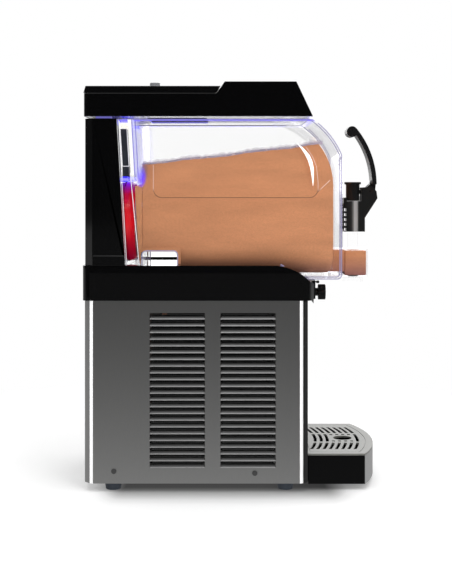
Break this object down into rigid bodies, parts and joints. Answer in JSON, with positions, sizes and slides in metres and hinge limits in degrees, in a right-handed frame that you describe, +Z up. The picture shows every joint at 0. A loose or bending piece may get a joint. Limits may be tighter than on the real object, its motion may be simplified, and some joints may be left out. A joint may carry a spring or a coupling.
{
  "type": "milkshake machine",
  "caption": "Countertop frozen-drink dispenser: clear bowl with auger over a louvred steel cabinet, lever tap, lidded hood and drip tray.",
  "frame": {"origin": "on the ground below the middle of the machine's overall box", "axes": "+Z up, -Y towards the front with the tap, +X to the right-hand side panel as seen from behind"},
  "size_m": [0.2632, 0.4976, 0.6788],
  "materials": {
    "steel_panel": "satin brushed",
    "black_gloss": "gloss",
    "black_plastic": "fine satin",
    "tray_black": "satin",
    "grille_grey": "satin light grey",
    "satin_trim": "satin",
    "display_glass": "dark gloss",
    "clear_bowl": "clear plastic",
    "liner_clear": "clear plastic",
    "lock_grey": "translucent grey",
    "blue_light": "lit blue diffuser",
    "red_gasket": "matte red",
    "black_rubber": "matte",
    "foot_rubber": "matte grey-blue",
    "stainless": "satin",
    "white_moulding": "food-grade white",
    "cast_gearbox": "cast",
    "motor_steel": "semi-gloss black",
    "copper": "copper tube",
    "board_green": "lacquered board"
  },
  "bodies": {
    "cabinet": {"side_panel_left": "steel_panel", "side_panel_right": "steel_panel", "rear_panel": "steel_panel", "base_pan": "steel_panel", "deck": "black_gloss", "rear_column": "black_gloss", "top_cover": "black_gloss", "column_rear_cover": "black_gloss", "front_panel": "black_plastic", "clamp_bracket": "black_plastic", "fan_shroud": "black_plastic", "mains_inlet": "black_plastic", "switch_frame": "black_plastic", "light_housing": "black_plastic", "deck_fascia": "satin_trim", "control_display": "display_glass", "cover_liner": "liner_clear", "light_strip_upper": "blue_light", "light_strip_lower": "blue_light", "bowl_gasket": "red_gasket", "compressor_mounts": "black_rubber", "shaft_seal": "black_rubber", "rubber_feet": "foot_rubber", "evaporator_drum": "stainless", "panel_screws": "stainless", "gearbox_posts": "stainless", "front_bush": "white_moulding", "bulkhead": "white_moulding", "board_posts": "white_moulding", "gearbox": "cast_gearbox", "condenser": "cast_gearbox", "drive_motor": "motor_steel", "fan_motor": "motor_steel", "compressor": "motor_steel", "filter_drier": "copper", "suction_pipe": "copper", "discharge_pipe": "copper", "liquid_pipe": "copper", "control_board": "board_green"},
    "bowl": {"bowl_shell": "clear_bowl", "bowl_tub": "clear_bowl", "spigot": "clear_bowl", "tap_sleeve": "black_plastic", "lever_pin": "stainless"},
    "lever": {"tap_lever": "black_plastic"},
    "piston": {"tap_head": "black_plastic", "tap_piston": "clear_bowl", "piston_seal": "black_rubber"},
    "auger": {"auger": "white_moulding", "drive_shaft": "stainless", "auger_nut": "white_moulding"},
    "fan": {"fan": "black_plastic"},
    "lid": {"filling_lid": "black_gloss"},
    "lid_lock": {"lid_knob": "lock_grey"},
    "knob": {"clamp_knob": "black_plastic"},
    "tray": {"drip_tray": "tray_black", "tray_fascia_plate": "grille_grey"},
    "grille": {"drip_grille": "grille_grey"},
    "rocker": {"power_rocker": "black_plastic"}
  },
  "joints": [
    {"name": "bowl_slide", "type": "slide", "parent": "cabinet", "child": "bowl", "axis": [0, -1, 0], "range_m": [0, 0.33]},
    {"name": "lever_hinge", "type": "hinge", "parent": "bowl", "child": "lever", "pos_m": [0, -0.236, 0.49], "axis": [1, 0, 0], "range_deg": [0, 36]},
    {"name": "piston_slide", "type": "slide", "parent": "bowl", "child": "piston", "axis": [0, 0, 1], "range_m": [0, 0.0135]},
    {"name": "auger_spin", "type": "hinge", "parent": "cabinet", "child": "auger", "pos_m": [0, 0, 0.45], "axis": [0, 1, 0], "continuous": true},
    {"name": "fan_spin", "type": "hinge", "parent": "cabinet", "child": "fan", "pos_m": [-0.05, 0.036, 0.147], "axis": [1, 0, 0], "continuous": true},
    {"name": "lid_lift", "type": "slide", "parent": "cabinet", "child": "lid", "axis": [0, 0, 1], "range_m": [0, 0.12]},
    {"name": "lid_lock_turn", "type": "hinge", "parent": "lid", "child": "lid_lock", "pos_m": [0, 0.13785, 0.67], "axis": [0, 0, 1], "range_deg": [0, 90]},
    {"name": "knob_turn", "type": "hinge", "parent": "cabinet", "child": "knob", "pos_m": [0, -0.15, 0.3146], "axis": [0, 1, 0], "range_deg": [-360, 0]},
    {"name": "tray_slide", "type": "slide", "parent": "cabinet", "child": "tray", "axis": [0, -1, 0], "range_m": [0, 0.12]},
    {"name": "grille_lift", "type": "slide", "parent": "tray", "child": "grille", "axis": [0, 0, 1], "range_m": [0, 0.05]},
    {"name": "rocker_tilt", "type": "hinge", "parent": "cabinet", "child": "rocker", "pos_m": [0.07, 0.2406, 0.032], "axis": [1, 0, 0], "range_deg": [-10, 10]}
  ],
  "couplings": [
    {"joint": "piston_slide", "follows": "lever_hinge", "m_per_rad": 0.02149}
  ]
}
